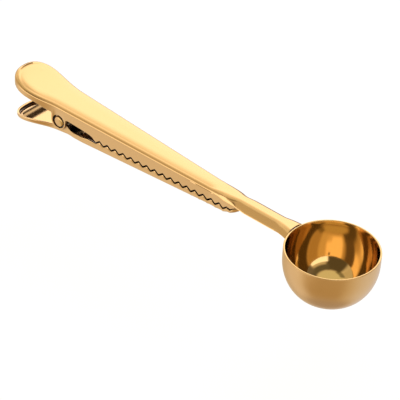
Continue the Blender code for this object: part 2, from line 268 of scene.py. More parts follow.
def along(points, x):
    """Value at x of the smooth curve through (x, value) points that never overshoots them."""
    rises = [(b[1] - a[1]) / (b[0] - a[0]) for a, b in zip(points, points[1:])]
    slopes = [rises[0]] + [gentle(a, b) for a, b in zip(rises, rises[1:])] + [rises[-1]]
    last = len(rises) - 1
    i = min(last, sum(1 for point in points[1:] if x > point[0]))
    (x0, v0), (x1, v1) = points[i], points[i + 1]
    run = x1 - x0
    t = min(1.0, max(0.0, (x - x0) / run))
    swing = (slopes[i] * (1.0 - t) - slopes[i + 1] * t) * run * t * (1.0 - t)
    return mix(v0, v1, t * t * (3.0 - 2.0 * t)) + swing


def polyline(points, x):
    """Value at x of the straight chain through (x, value) points."""
    for (x0, v0), (x1, v1) in zip(points, points[1:]):
        if x <= x1:
            return mix(v0, v1, max(0.0, (x - x0) / (x1 - x0)))
    return points[-1][1]


def spread(start, end, count):
    """count + 1 evenly spaced values from start to end."""
    return [mix(start, end, i / count) for i in range(count + 1)]


def arc(centre, radius, start, end, steps, sign=1.0):
    """Round stretch from start to end, in degrees, as (x, height) points; sign -1 turns it upside down."""
    points = []
    for angle in spread(start, end, steps):
        a = math.radians(angle)
        points.append((centre[0] + radius * math.cos(a), centre[1] + sign * radius * math.sin(a)))
    return points


# ----------------------------------------------------------------------------------------------------
# Plan outlines


def taper(x):
    """Half width of the straight part of both jaws."""
    return TAPER_HALF + TAPER_SLOPE * (TAPER_X - min(x, WAIST_X))


def paddle_half(x, centre, radius, base, swell):
    """Half width where the jaw swells into its round-ended paddle."""
    if x <= centre:
        t = min(1.0, (centre - x) / radius)
        return radius * (1.0 - t**PADDLE_POWER) ** (1.0 / PADDLE_POWER)
    return base(x) + (radius - base(centre)) * (1.0 - ramp(x, centre, centre + swell))


def upper_half(x):
    """Half width of the upper jaw's outer face."""
    return paddle_half(x, UPPER_PADDLE_X, UPPER_PADDLE_R, taper, SWELL_LENGTH)


def nested_taper(x):
    """Half width of the lower jaw behind the joggle, where it runs inside the upper ears."""
    return taper(x) - NEST * (1.0 - ramp(x, *JOGGLE))


def lower_half(x):
    """Half width of the lower jaw's outer face, rounded at the nose."""
    if x > NOSE_X:
        t = min(1.0, (x - NOSE_X) / NOSE_LENGTH)
        return taper(NOSE_X) * (1.0 - t**NOSE_POWER) ** (1.0 / NOSE_POWER)
    return paddle_half(x, LOWER_PADDLE_X, LOWER_PADDLE_R, nested_taper, LOWER_SWELL)


def end_stations(centre, radius, power, count):
    """x positions round a paddle end or a nose, from its tip to where it meets the taper."""
    angles = spread(0.0, 90.0, count)
    return [centre + radius * math.cos(math.radians(a)) ** (2.0 / power) for a in angles]


def inward(half, x):
    """Unit vector in plan, on the +Y side, from the outline towards the middle of the piece."""
    step = 0.005
    slope = (half(x + step) - half(x - step)) / (2.0 * step)
    length = math.hypot(1.0, slope)
    return slope / length, -1.0 / length


# ----------------------------------------------------------------------------------------------------
# Side outlines


def top_height(x):
    """Height of the upper jaw's top on its middle line."""
    rise = TOP_SLOPE * max(0.0, WAIST_X - x)
    return TOP_AT_WAIST + rise + CURL * max(0.0, CURL_X - x) ** 2


def tooth_wave(x):
    """0 at a tooth's tip and 1 in a valley, with straight flanks and slightly rounded ends."""
    turn = math.tau * (x - FIRST_TIP_X) / TOOTH_PITCH
    wave = math.asin(TOOTH_SHARPNESS * math.cos(turn)) / math.asin(TOOTH_SHARPNESS)
    return 0.5 - 0.5 * wave


def tooth_points():
    """The upper jaw's zigzag edge as (x, height) points, from the first tip to the end of the teeth."""
    last = FIRST_TIP_X + TOOTH_PITCH * (TOOTH_COUNT - 1)
    points = []
    for x in spread(FIRST_TIP_X, last, TOOTH_STEPS * (TOOTH_COUNT - 1)):
        points.append((x, polyline(TIP_LINE, x) + TOOTH_HEIGHT * tooth_wave(x)))
    return points + list(TEETH_END)


def upper_edge_points():
    """Lower edge of the upper jaw from the ear to the nose as (x, height) points."""
    left = EAR_X - EAR_R
    lip = top_height(LIP_END_X) - LIP_DROP_AT_EAR
    points = [(LIP_END_X, lip), (left - NOTCH_RUN, lip - EAR_NOTCH)]
    points += arc((EAR_X, EAR_Z), EAR_R, 180.0, 0.0, EAR_STEPS, -1.0)
    points += [(x, RIM + z) for x, z in UPPER_WINDOW]
    points += tooth_points()
    points += [FLANGE_MIDDLE, FLANGE_TIP]
    return points


def floor_height(x):
    """Height of the lower jaw's underside, which splays down under the paddle and rises at the nose."""
    bend = max(0.0, SPLAY_X - max(x, SPLAY_END_X))
    tail = max(0.0, SPLAY_END_X - x) * 2.0 * SPLAY * (SPLAY_X - SPLAY_END_X)
    line = FLOOR_AT_WINDOW + FLOOR_SLOPE * (x - FLOOR_X) - SPLAY * bend * bend - tail
    curl = max(0.0, LOWER_CURL_X - x)
    nose = max(0.0, x - NOSE_RISE_X)
    return line - LOWER_CURL * curl * curl + NOSE_RISE * nose * nose


def lower_edge_points():
    """Upper edge of the lower jaw from the ear to the nose as (x, height) points."""
    left = PIN_X - INNER_EAR_R
    wall = floor_height(left) + WALL_HEIGHT_AT_EAR
    points = [(left - INNER_NOTCH_START, wall), (left - NOTCH_RUN, wall + INNER_EAR_NOTCH)]
    points += arc((PIN_X, PIN_Z), INNER_EAR_R, 180.0, 0.0, EAR_STEPS)
    points += [(x, RIM + z) for x, z in LOWER_WINDOW]
    points += [(x, z - JAW_GAP) for x, z in tooth_points()]
    return points


# ----------------------------------------------------------------------------------------------------
# Mesh helpers


def object_from(name, mesh_data, finish):
    """Put a bmesh, drawn in millimetres, into the scene as a named object in metres."""
    bmesh.ops.scale(mesh_data, vec=Vector((MM, MM, MM)), verts=mesh_data.verts)
    mesh = bpy.data.meshes.new(name)
    mesh_data.to_mesh(mesh)
    mesh_data.free()
    mesh.materials.append(finish)
    mesh.shade_smooth()
    placed = bpy.data.objects.new(name, mesh)
    bpy.context.collection.objects.link(placed)
    return placed


def skin(rows, closed, flip):
    """Open surface through rows of points; a row runs from the sheet's edge to its middle line."""
    made = bmesh.new()
    grid = [[made.verts.new(point) for point in row] for row in rows]
    pairs = list(zip(grid, grid[1:]))
    if closed:
        pairs.append((grid[-1], grid[0]))
    for a, b in pairs:
        for j in range(len(a) - 1):
            corners = [a[j], a[j + 1], b[j + 1], b[j]]
            made.faces.new(corners[::-1] if flip else corners)
    bmesh.ops.remove_doubles(made, verts=made.verts, dist=SHEET_WELD)
    bmesh.ops.dissolve_degenerate(made, edges=made.edges, dist=SHEET_WELD)
    return made


def mirrored(rows):
    """Rows on the other side of the middle plane, in reverse order."""
    return [[(x, -y, z) for x, y, z in row] for row in reversed(rows)]


def thicken(placed):
    """Give the sheet its thickness towards its inside."""
    solid = placed.modifiers.new("sheet", "SOLIDIFY")
    solid.thickness = SHEET * MM
    solid.offset = -1.0
    solid.use_even_offset = True
    solid.use_quality_normals = True


def soften(placed):
    """Round the cut edges of the sheet."""
    soft = placed.modifiers.new("edges", "BEVEL")
    soft.width = EDGE_ROUND * MM
    soft.segments = 2
    soft.limit_method = "ANGLE"
    soft.angle_limit = math.radians(ROUNDED_FROM)
    soft.use_clamp_overlap = True
    soft.miter_outer = "MITER_ARC"


def cross_hole(placed, x, z, radius):
    """Cut a round hole along Y through both sides of a piece; return the drill, to be removed once baked."""
    made = bmesh.new()
    bmesh.ops.create_cone(
        made, cap_ends=True, segments=HOLE_SIDES, radius1=radius, radius2=radius, depth=2.0 * DRILL_REACH
    )
    bmesh.ops.rotate(made, matrix=Matrix.Rotation(math.radians(90.0), 3, "X"), verts=made.verts)
    bmesh.ops.translate(made, vec=Vector((x, 0.0, z)), verts=made.verts)
    cutter = object_from(placed.name + "_drill", made, placed.data.materials[0])
    cut = placed.modifiers.new("pivot hole", "BOOLEAN")
    cut.operation = "DIFFERENCE"
    cut.solver = "EXACT"
    cut.object = cutter
    return cutter


def bake(placed):
    """Replace an object's mesh by its modified mesh and mark the sharp edges."""
    graph = bpy.context.evaluated_depsgraph_get()
    mesh = bpy.data.meshes.new_from_object(placed.evaluated_get(graph))
    placed.modifiers.clear()
    placed.data = mesh
    mesh.shade_smooth()
    mesh.set_sharp_from_angle(angle=math.radians(SHEET_SHARP))


def bake_and_drop(placed, helpers):
    """Bake an object's modifiers, then remove the helper objects they used."""
    bake(placed)
    for helper in helpers:
        bpy.data.objects.remove(helper, do_unlink=True)


def turned(name, profile, sides, finish):
    """Solid of revolution about Z from a closed half section of (radius, height) points."""
    made = bmesh.new()
    verts = [made.verts.new((r, 0.0, z)) for r, z in profile]
    edges = [made.edges.new(pair) for pair in zip(verts, verts[1:])]
    bmesh.ops.spin(
        made,
        geom=verts + edges,
        cent=(0, 0, 0),
        axis=(0, 0, 1),
        angle=math.tau,
        steps=sides,
        use_merge=True,
    )
    bmesh.ops.remove_doubles(made, verts=made.verts, dist=TURNED_WELD)
    bmesh.ops.recalc_face_normals(made, faces=made.faces)
    return object_from(name, made, finish)


# ----------------------------------------------------------------------------------------------------
# Bowl


def bowl_curve(radius, depth, base, straight, rows):
    """Half section from under the rim to the edge of the flat base as (radius, height) points."""
    points = []
    for angle in spread(0.0, 90.0, rows):
        a = math.radians(angle)
        height = RIM - straight - (depth - straight) * math.sin(a)
        points.append((base + (radius - base) * math.cos(a), height))
    return points


def build_bowl(finish):
    """Drawn bowl with a rounded lip."""
    outer = bowl_curve(BOWL_R, RIM, BASE_R, BOWL_STRAIGHT, BOWL_ROWS)
    inner = bowl_curve(BOWL_R - SHEET, RIM - SHEET, BASE_R, INNER_STRAIGHT, BOWL_ROWS)
    lip = arc((BOWL_R - LIP_ROUND, RIM - LIP_ROUND), LIP_ROUND, 0.0, 90.0, LIP_STEPS)
    lip += arc((BOWL_R - SHEET + LIP_ROUND, RIM - LIP_ROUND), LIP_ROUND, 90.0, 180.0, LIP_STEPS)
    flat_out = [(BASE_R * t, 0.0) for t in spread(0.0, 1.0, BASE_STEPS)[:-1]]
    flat_in = [(BASE_R * t, SHEET) for t in spread(0.0, 1.0, BASE_STEPS)[:-1]]
    profile = flat_out + outer[::-1] + lip + inner + flat_in[::-1]
    placed = turned("scoop_bowl_fine", profile, BOWL_SIDES, finish)
    placed.data.set_sharp_from_angle(angle=math.radians(BOWL_SHARP))
    return placed


# ----------------------------------------------------------------------------------------------------
# Upper jaw


def crown_section(x):
    """Half width, bend width, then heights of the top, the crown's foot and the flange's top at x."""
    if x < WAIST_X:
        top = top_height(x)
        return upper_half(x), BEND, top, top - BEND, top - BEND
    half, bend, top, foot, shoulder = (along([(row[0], row[i]) for row in NECK], x) for i in range(1, 6))
    return half, bend, RIM + top, RIM + foot, RIM + shoulder


def upper_edge_height(x):
    """Height of the upper jaw's lower edge."""
    if x < LIP_END_X:
        return top_height(x) - mix(LIP_DROP, LIP_DROP_AT_EAR, ramp(x, LIP_X, LIP_END_X))
    return polyline(upper_edge_points(), x)


def crease_depth(x):
    """Depth of the fine crease between the bend and the flange, which fades out at both ends."""
    start, full, fade, end = CREASE_X
    return CREASE * ramp(x, start, full) * (1.0 - ramp(x, fade, end))


def upper_row(x, tip=0.0):
    """Section of the upper jaw on the +Y side, from its lower edge to the middle line."""
    half, bend, top, foot, shoulder = crown_section(x)
    if tip:
        half, in_x, in_y = 0.0, tip, 0.0
    else:
        in_x, in_y = inward(upper_half, x) if x < WAIST_X else (0.0, -1.0)
    flange = 1.0 - ramp(x, NOSE_X, FLANGE_END_X)
    edge_half = mix(half, taper(x) if x > WAIST_X else half, flange)
    edge = mix(foot, upper_edge_height(min(x, FLANGE_TIP[0])), flange)
    shoulder = mix(foot, shoulder, flange)
    depth = crease_depth(x)
    low = shoulder - 2.0 * CREASE_HALF * flange
    row = [(x, edge_half, mix(edge, low, share)) for share in FLANGE_ROWS]
    row.append((x, edge_half - depth, mix(low, shoulder, 0.5)))
    for t in spread(0.0, 1.0, SHOULDER_STEPS):
        row.append((x, mix(edge_half, half, t), mix(shoulder, foot, t)))
    cut = math.radians(BEND_CUT) * ramp(x, *BEND_CUT_X)
    for a in spread(cut, math.pi / 2.0, BEND_STEPS)[1:]:
        inset = bend * (math.cos(cut) - math.cos(a)) / math.cos(cut)
        drop = (top - foot) * (1.0 - math.sin(a)) / (1.0 - math.sin(cut))
        row.append((x + in_x * inset, half + in_y * inset, top - drop))
    middle = max(x, UPPER_PADDLE_X)
    last = row[-1]
    for t in spread(0.0, 1.0, TOP_STEPS)[1:]:
        px = mix(last[0], middle, t)
        py = mix(last[1], 0.0, t)
        row.append((px, py, top_height(px) if x < WAIST_X else top))
    return row


def crowned(row, amount):
    """Let the top fall gently towards the bend, so the flat runs smoothly into it."""
    first = len(row) - 1 - TOP_STEPS
    start = Vector(row[first])
    foot = row[first - BEND_STEPS][2]
    out = []
    for j, point in enumerate(row):
        away = 0.0 if j < first else (Vector(point) - start).length
        drop = CROWN * max(0.0, CROWN_WIDTH - away) ** 2
        share = min(1.0, max(0.0, (point[2] - foot) / (start.z - foot)))
        out.append((point[0], point[1], point[2] - amount * drop * share))
    return out


def seat_on_bowl(row, amount):
    """Curve a section of the neck so that its end follows the bowl's wall."""
    seated = []
    for x, y, z in row:
        wall = BOWL_R - math.sqrt(BOWL_R**2 - y * y)
        seated.append((x + amount * wall, y, z))
    return seated


def build_upper_jaw(finish):
    """Upper stamping: paddle, toothed flanges, outer ears and the neck."""
    end = -(BOWL_R + NECK_GAP)
    stations = end_stations(UPPER_PADDLE_X, -UPPER_PADDLE_R, PADDLE_POWER, PADDLE_STEPS)
    stations += spread(UPPER_PADDLE_X, LIP_END_X, SWELL_STEPS)[1:-1]
    stations += [x for x, z in upper_edge_points()]
    stations += spread(FLANGE_TIP[0], FLANGE_END_X, FLANGE_END_STEPS)[1:]
    stations += spread(FLANGE_END_X, end, NECK_STEPS)[1:]
    rows = [upper_row(stations[0], 1.0)] + [upper_row(x) for x in stations[1:]]
    rows = [crowned(row, 1.0 - ramp(x, *NECK_BLEND_X)) for row, x in zip(rows, stations)]
    rows = [seat_on_bowl(row, ramp(x, SEAT_START_X, end)) for row, x in zip(rows, stations)]
    made = skin(mirrored(rows[1:]) + rows, False, False)
    placed = object_from("upper_jaw_fine", made, finish)
    thicken(placed)
    drill = cross_hole(placed, EAR_X, EAR_Z, EAR_HOLE_R)
    bake_and_drop(placed, [drill])
    soften(placed)
    bake(placed)
    return placed


# ----------------------------------------------------------------------------------------------------
# Lower jaw


def lower_edge_height(x):
    """Height of the lower jaw's upper edge."""
    points = lower_edge_points()
    if x < points[0][0]:
        wall = mix(WALL_HEIGHT, WALL_HEIGHT_AT_EAR, ramp(x, LOWER_PADDLE_X, points[0][0]))
        return floor_height(x) + wall
    if x > points[-1][0]:
        return RIM + polyline(NOSE_EDGE, x)
    return polyline(points, x)


def lower_row(x, tip=0.0):
    """Section of the lower jaw from its upper edge to the middle line.

    It is the +Y side, or the middle plane if tip says which way (+1 or -1 along X) the end faces inwards.
    """
    half, in_x, in_y = 0.0, tip, 0.0
    if not tip:
        half = lower_half(x)
        in_x, in_y = inward(lower_half, x)
    floor = floor_height(x)
    edge = lower_edge_height(x)
    bend = min(BEND, BEND_SHARE * (edge - floor))
    row = [(x, half, edge), (x, half, mix(edge, floor + bend, 0.5))]
    for angle in spread(0.0, 90.0, BEND_STEPS):
        a = math.radians(angle)
        inset = bend * (1.0 - math.cos(a))
        row.append((x + in_x * inset, half + in_y * inset, floor + bend * (1.0 - math.sin(a))))
    middle = min(max(x, LOWER_PADDLE_X), NOSE_MIDDLE_X)
    last = row[-1]
    for t in spread(0.0, 1.0, TOP_STEPS)[1:]:
        px = mix(last[0], middle, t)
        row.append((px, mix(last[1], 0.0, t), floor_height(px)))
    return row


def build_lower_jaw(finish):
    """Lower stamping: a closed tray with teeth, inner ears and the lower paddle."""
    paddle = end_stations(LOWER_PADDLE_X, -LOWER_PADDLE_R, PADDLE_POWER, PADDLE_STEPS)
    nose = end_stations(NOSE_X, NOSE_LENGTH, NOSE_POWER, NOSE_STEPS)[::-1]
    edge_points = lower_edge_points()
    stations = paddle[1:] + spread(LOWER_PADDLE_X, edge_points[0][0], SWELL_STEPS)[1:-1]
    stations += [x for x, z in edge_points if x < NOSE_X]
    stations += [NOSE_X] + nose[1:-1]
    side = [lower_row(x) for x in stations]
    rows = [lower_row(paddle[0], 1.0)] + side + [lower_row(nose[-1], -1.0)] + mirrored(side)
    made = skin(rows, True, True)
    placed = object_from("lower_jaw_fine", made, finish)
    thicken(placed)
    drill = cross_hole(placed, PIN_X, PIN_Z, PIN_HOLE_R)
    bake_and_drop(placed, [drill])
    soften(placed)
    bake(placed)
    return placed


# ----------------------------------------------------------------------------------------------------
# Pin and spring


def build_pin(finish):
    """Round pin across the ears with chamfered, slightly domed ends."""
    half = taper(PIN_X)
    face = spread(0.0, 1.0 - PIN_CHAMFER / PIN_R, PIN_FACE_STEPS)
    end = [(PIN_R * t, half - PIN_DOME * t * t) for t in face]
    end += [(PIN_R - inset, half - PIN_DOME - drop) for inset, drop in PIN_EDGE]
    profile = end + [(r, -z) for r, z in reversed(end)]
    placed = turned("hinge_pin_fine", profile, PIN_SIDES, finish)
    placed.data.transform(Matrix.Rotation(math.radians(90.0), 4, "X"))
    placed.data.transform(Matrix.Translation(Vector((PIN_X, 0.0, PIN_Z)) * MM))
    placed.data.set_sharp_from_angle(angle=math.radians(ROUND_SHARP))
    return placed


def spring_path():
    """Centre line of the wire: lower leg, coil round the pin, upper leg."""
    lower_touch = floor_height(LEG_TIP_X) + SHEET + LEG_CLEAR + WIRE_R
    upper_touch = top_height(LEG_TIP_X) - SHEET - LEG_CLEAR - WIRE_R
    start_angle = math.radians(LEG_ANGLES[0])
    sweep = math.radians(360.0 * COIL_TURNS + LEG_ANGLES[1] - LEG_ANGLES[0])
    coil = []
    for t in spread(0.0, 1.0, TURN_STEPS * COIL_TURNS):
        a = start_angle + sweep * t
        side = mix(COIL_HALF, -COIL_HALF, t)
        coil.append(Vector((PIN_X + COIL_R * math.cos(a), side, PIN_Z + COIL_R * math.sin(a))))
    lower_tip = Vector((LEG_TIP_X, COIL_HALF, lower_touch))
    upper_tip = Vector((LEG_TIP_X, -COIL_HALF, upper_touch))
    lower = [lower_tip.lerp(coil[0], t) for t in spread(0.0, 1.0, LEG_STEPS)[:-1]]
    upper = [coil[-1].lerp(upper_tip, t) for t in spread(0.0, 1.0, LEG_STEPS)[1:]]
    return lower + coil + upper


def build_spring(finish):
    """Wire swept along its centre line as a closed tube with flat ends."""
    path = spring_path()
    made = bmesh.new()
    rings = []
    for i, point in enumerate(path):
        before = path[max(0, i - 1)]
        after = path[min(len(path) - 1, i + 1)]
        forward = (after - before).normalized()
        side = Vector((0.0, 1.0, 0.0))
        side = (side - forward * side.dot(forward)).normalized()
        up = forward.cross(side)
        ring = []
        for k in range(WIRE_SIDES):
            a = math.tau * k / WIRE_SIDES
            ring.append(made.verts.new(point + (side * math.cos(a) + up * math.sin(a)) * WIRE_R))
        rings.append(ring)
    for a, b in zip(rings, rings[1:]):
        for k in range(WIRE_SIDES):
            n = (k + 1) % WIRE_SIDES
            made.faces.new((a[k], a[n], b[n], b[k]))
    made.faces.new(rings[0])
    made.faces.new(rings[-1])
    bmesh.ops.recalc_face_normals(made, faces=made.faces)
    placed = object_from("torsion_spring_fine", made, finish)
    placed.data.set_sharp_from_angle(angle=math.radians(ROUND_SHARP))
    return placed


# ----------------------------------------------------------------------------------------------------
# Materials


GOLD = (0.80, 0.49, 0.215)
BOWL_GOLD = (0.79, 0.505, 0.20)
STEEL = (0.62, 0.60, 0.56)
# Painted shade: base colours darken to a dark grey where ambient occlusion finds other metal close all round;
# reaches in millimetres, where along X they change, and the occlusion's samples and range
HOLLOW_REACH = 12.0
PADDLE_REACH = 3.0
NECK_REACH = 1.5
PADDLE_TURN = (-152.0, -144.0)
NECK_TURN = (-62.0, -54.0)
PAINTED_SHADE_REACH = 1.0
PAINTED_SHADE_COLOUR = (0.12, 0.10, 0.105)
SHADE_SAMPLES = 8
SHADE_RANGE = (0.4, 0.9)

# Painted reflection: gold as it looks once the bowl has mirrored itself twice, given as the base colour after
# two glossy bounces
PAINTED_REFLECTION_GOLD = (0.62, 0.45, 0.28)
TWO_BOUNCES = 1.5

# Roughness of each finish
TOP_ROUGHNESS = 0.13
LOWER_ROUGHNESS = 0.05
LINING_ROUGHNESS = 0.06
SATIN_ROUGHNESS = 0.28
WIRE_ROUGHNESS = 0.25

# Noise: stretch along X, Y and Z, cycles per millimetre, detail
SHEET_PATCHES = ((3.0, 1.0, 1.0), 0.12, 3.0)
SHEET_MARKS = ((14.0, 1.0, 1.0), 3.0, 4.0)
SHEET_GRAIN = ((1.0, 1.0, 1.0), 9.0, 2.0)
BOWL_PATCHES = ((1.0, 1.0, 1.0), 0.16, 3.0)
BOWL_RINGS = ((6.0, 6.0, 1.0), 4.0, 3.0)
BOWL_GRAIN = ((1.0, 1.0, 1.0), 7.0, 2.0)
WIRE_MARKS = ((1.0, 1.0, 1.0), 2.5, 4.0)

# How far the colour drifts either way
SHEET_DRIFT = 0.02
BOWL_DRIFT = 0.03
WIRE_DRIFT = 0.08

# Bump: height in millimetres, strength
SHEET_BUMP = (0.004, 0.35)
BOWL_BUMP = (0.004, 0.3)
WIRE_BUMP = (0.01, 0.3)

# Shares of the roughness that come with the patches, always, and with the marks
PATCH_WEAR = 0.5
EVEN_WEAR = 0.75
MARK_WEAR = 0.3
MARK_HEIGHT = 0.7

# Roughness added in the bowl, and how much of the satin's bump is left on the lining
BOWL_PATCH_WEAR = 0.03
BOWL_RING_WEAR = 0.02
LINING_BUMP = 0.15
WALL_BLEND = 0.5
WIRE_WEAR = 0.12


class Graph:
    """Short names for adding shader nodes and wiring them up."""

    def __init__(self, tree):
        self.tree = tree

    def add(self, kind, inputs=(), **settings):
        """Add a node, set its properties, then feed its inputs in order; None leaves an input alone."""
        node = self.tree.nodes.new(kind)
        for name, value in settings.items():
            setattr(node, name, value)
        for socket, value in zip(node.inputs, inputs):
            self.feed(socket, value)
        return node

    def feed(self, socket, value):
        """Wire an output into a socket, or set the socket's value."""
        if isinstance(value, bpy.types.NodeSocket):
            self.tree.links.new(value, socket)
        elif value is not None:
            socket.default_value = value

    def math(self, operation, *values):
        """Result of a math node."""
        return self.add("ShaderNodeMath", values, operation=operation).outputs[0]

    def vector(self, operation, *values):
        """Result of a vector math node."""
        node = self.add("ShaderNodeVectorMath", values, operation=operation)
        return node.outputs["Value" if operation == "DOT_PRODUCT" else "Vector"]

    def mixed(self, factor, start, end, label=""):
        """Colour that goes from start to end as the factor goes from 0 to 1."""
        node = self.add("ShaderNodeMix", data_type="RGBA", label=label)
        for socket, value in (("Factor", factor), ("A", start), ("B", end)):
            self.feed(node.inputs[socket], value)
        return node.outputs["Result"]

    def remap(self, value, low, high, to_low, to_high):
        """Value moved smoothly from the range low to high into the range to_low to to_high."""
        values = (value, low, high, to_low, to_high)
        return self.add("ShaderNodeMapRange", values, interpolation_type="SMOOTHSTEP").outputs[0]

    def noise(self, where, stretch, scale, detail):
        """Noise in an object's own space, scale in cycles per millimetre, stretched along its axes."""
        placed = self.vector("MULTIPLY", where, tuple(scale / (MM * s) for s in stretch))
        node = self.add("ShaderNodeTexNoise")
        self.feed(node.inputs["Vector"], placed)
        self.feed(node.inputs["Scale"], 1.0)
        self.feed(node.inputs["Detail"], detail)
        return node.outputs["Fac"]

    def open_to_light(self, reach):
        """Mask for the painted shade: 1 on open surfaces, falling to 0 where other metal stands all round
        within reach (metres).
        """
        node = self.add("ShaderNodeAmbientOcclusion", samples=SHADE_SAMPLES)
        self.feed(node.inputs["Distance"], reach)
        return self.remap(node.outputs["AO"], *SHADE_RANGE, 0.0, 1.0)

    def bump(self, height, distance, strength):
        """Surface normal bumped by a height."""
        node = self.add("ShaderNodeBump")
        self.feed(node.inputs["Height"], height)
        self.feed(node.inputs["Distance"], distance * MM)
        self.feed(node.inputs["Strength"], strength)
        return node.outputs["Normal"]


def principled(name, colour, roughness):
    """New metal with its Principled shader, its node graph and its object-space position."""
    made = bpy.data.materials.new(name)
    made.use_nodes = True
    graph = Graph(made.node_tree)
    shader = made.node_tree.nodes["Principled BSDF"]
    shader.inputs["Base Color"].default_value = (*colour, 1.0)
    shader.inputs["Metallic"].default_value = 1.0
    shader.inputs["Roughness"].default_value = roughness
    where = graph.add("ShaderNodeTexCoord").outputs["Object"]
    return made, shader, graph, where


def tint(graph, shader, colour, noise, amount, reach):
    """Let the colour drift a little between two shades and darken it to a painted shade in crevices; return
    that colour.
    """
    pale = tuple(c * (1.0 + amount) for c in colour)
    deep = tuple(c * (1.0 - amount) for c in colour)
    drifting = graph.mixed(noise, (*deep, 1.0), (*pale, 1.0))
    shaded = graph.mixed(graph.open_to_light(reach), (*PAINTED_SHADE_COLOUR, 1.0), drifting)
    graph.feed(shader.inputs["Base Color"], shaded)
    return shaded


def jaw_reach(graph, where):
    """How far the jaws look for painted shade: far in their hollow, little at the open paddle and the neck."""
    x = graph.add("ShaderNodeSeparateXYZ", (where,)).outputs["X"]
    start, end = (value * MM for value in PADDLE_TURN)
    reach = graph.remap(x, start, end, PADDLE_REACH * MM, HOLLOW_REACH * MM)
    start, end = (value * MM for value in NECK_TURN)
    return graph.math("MULTIPLY", reach, graph.remap(x, start, end, 1.0, NECK_REACH / HOLLOW_REACH))


def sheet_gold(name, roughness):
    """Polished gold sheet with faint lengthwise rolling marks, patches of wear and painted shade in its
    hollows.
    """
    made, shader, graph, where = principled(name, GOLD, roughness)
    patches = graph.noise(where, *SHEET_PATCHES)
    marks = graph.noise(where, *SHEET_MARKS)
    grain = graph.noise(where, *SHEET_GRAIN)
    tint(graph, shader, GOLD, patches, SHEET_DRIFT, jaw_reach(graph, where))
    worn = graph.math("MULTIPLY_ADD", patches, PATCH_WEAR * roughness, EVEN_WEAR * roughness)
    graph.feed(shader.inputs["Roughness"], graph.math("MULTIPLY_ADD", marks, MARK_WEAR * roughness, worn))
    height = graph.math("MULTIPLY_ADD", marks, MARK_HEIGHT, grain)
    graph.feed(shader.inputs["Normal"], graph.bump(height, *SHEET_BUMP))
    return made


def bowl_gold(name, inside, outside):
    """Drawn gold: polished inside the bowl and satin outside, with faint turning marks, painted shade in
    crevices on the outside and a painted reflection colour after two glossy bounces.
    """
    made, shader, graph, where = principled(name, GOLD, outside)
    normal = graph.add("ShaderNodeNewGeometry").outputs["Normal"]
    from_mouth = graph.vector("SUBTRACT", where, (0.0, 0.0, RIM * MM))
    facing = graph.vector("DOT_PRODUCT", normal, from_mouth)
    outer = graph.remap(facing, -WALL_BLEND * MM, WALL_BLEND * MM, 0.0, 1.0)
    patches = graph.noise(where, *BOWL_PATCHES)
    rings = graph.noise(where, *BOWL_RINGS)
    grain = graph.noise(where, *BOWL_GRAIN)
    colour = tint(graph, shader, GOLD, patches, BOWL_DRIFT, PAINTED_SHADE_REACH * MM)
    lined = graph.mixed(outer, (*BOWL_GOLD, 1.0), colour)
    # Painted reflection: after two glossy bounces the base colour turns to a paler, greyer gold
    depth = graph.add("ShaderNodeLightPath").outputs["Glossy Depth"]
    deep = graph.mixed(graph.math("GREATER_THAN", depth, TWO_BOUNCES), lined, (*PAINTED_REFLECTION_GOLD, 1.0))
    graph.feed(shader.inputs["Base Color"], deep)
    rough = graph.math("MULTIPLY_ADD", outer, outside - inside, inside)
    rough = graph.math("MULTIPLY_ADD", patches, BOWL_PATCH_WEAR, rough)
    graph.feed(shader.inputs["Roughness"], graph.math("MULTIPLY_ADD", rings, BOWL_RING_WEAR, rough))
    marks = graph.math("ADD", rings, grain)
    height = graph.math("MULTIPLY", marks, graph.math("ADD", outer, LINING_BUMP))
    graph.feed(shader.inputs["Normal"], graph.bump(height, *BOWL_BUMP))
    return made


def spring_wire(name, roughness):
    """Drawn steel wire with a fine, even variation and painted shade in crevices."""
    made, shader, graph, where = principled(name, STEEL, roughness)
    drawn = graph.noise(where, *WIRE_MARKS)
    tint(graph, shader, STEEL, drawn, WIRE_DRIFT, PAINTED_SHADE_REACH * MM)
    worn = graph.math("MULTIPLY_ADD", drawn, WIRE_WEAR, roughness - WIRE_WEAR / 2.0)
    graph.feed(shader.inputs["Roughness"], worn)
    graph.feed(shader.inputs["Normal"], graph.bump(drawn, *WIRE_BUMP))
    return made


# ----------------------------------------------------------------------------------------------------
# Studio


CAMERA_AZIMUTH = 38.67
CAMERA_ELEVATION = 36.62
CAMERA_ROLL = 4.03
CAMERA_DISTANCE = 1123.6
CAMERA_FOCUS = (-69.92, 0.0, RIM - 12.48)
FIELD_MM = 167.1
SENSOR_MM = 36.0
SIGHT_M = 20.0


def build_camera():
    """Long-lens camera looking down along the handle from the bowl's right."""
    azimuth = math.radians(CAMERA_AZIMUTH)
    elevation = math.radians(CAMERA_ELEVATION)
    back = Vector(
        (
            math.sin(azimuth) * math.cos(elevation),
            -math.cos(azimuth) * math.cos(elevation),
            math.sin(elevation),
        )
    )
    right = Vector((math.cos(azimuth), math.sin(azimuth), 0.0))
    up = back.cross(right)
    roll = Matrix.Rotation(math.radians(CAMERA_ROLL), 4, "Z")
    turn = Matrix((right, up, back)).transposed().to_4x4() @ roll
    data = bpy.data.cameras.new("photo_camera")
    data.sensor_width = SENSOR_MM
    data.lens = data.sensor_width * CAMERA_DISTANCE / FIELD_MM
    data.clip_end = SIGHT_M
    camera = bpy.data.objects.new("photo_camera", data)
    camera.matrix_world = Matrix.Translation((Vector(CAMERA_FOCUS) + back * CAMERA_DISTANCE) * MM) @ turn
    bpy.context.collection.objects.link(camera)
    bpy.context.scene.camera = camera


